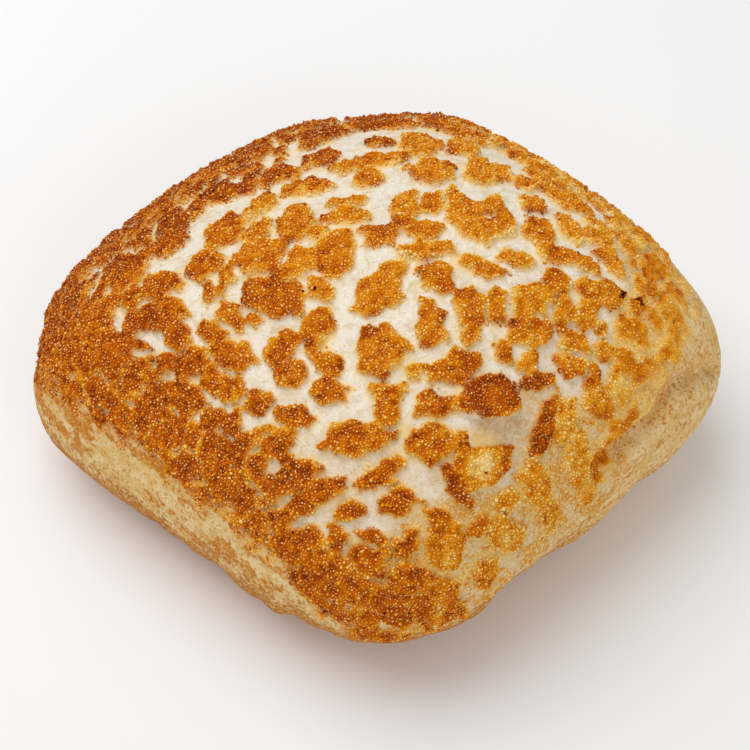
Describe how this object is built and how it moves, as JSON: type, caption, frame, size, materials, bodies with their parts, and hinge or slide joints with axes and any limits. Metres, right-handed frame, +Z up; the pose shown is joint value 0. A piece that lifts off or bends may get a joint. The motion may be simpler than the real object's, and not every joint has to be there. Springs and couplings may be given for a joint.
{
  "type": "tiger bread loaf",
  "caption": "Uncut white bread loaf, a rounded square with a domed crown, under a crust of baked rice paste cracked into golden brown plates over pale skin.",
  "frame": {"origin": "middle of the loaf's box, on the flat base that it rests on", "axes": "+X along the loaf's longer diagonal, towards the corner that the crown leans to; +Y towards the back corner; +Z up"},
  "size_m": [0.2152, 0.1954, 0.0918],
  "materials": {
    "crust": "baked bread crust, satin brown paste plates over matt pale skin"
  },
  "bodies": {
    "root": {"loaf": "crust"}
  },
  "joints": []
}
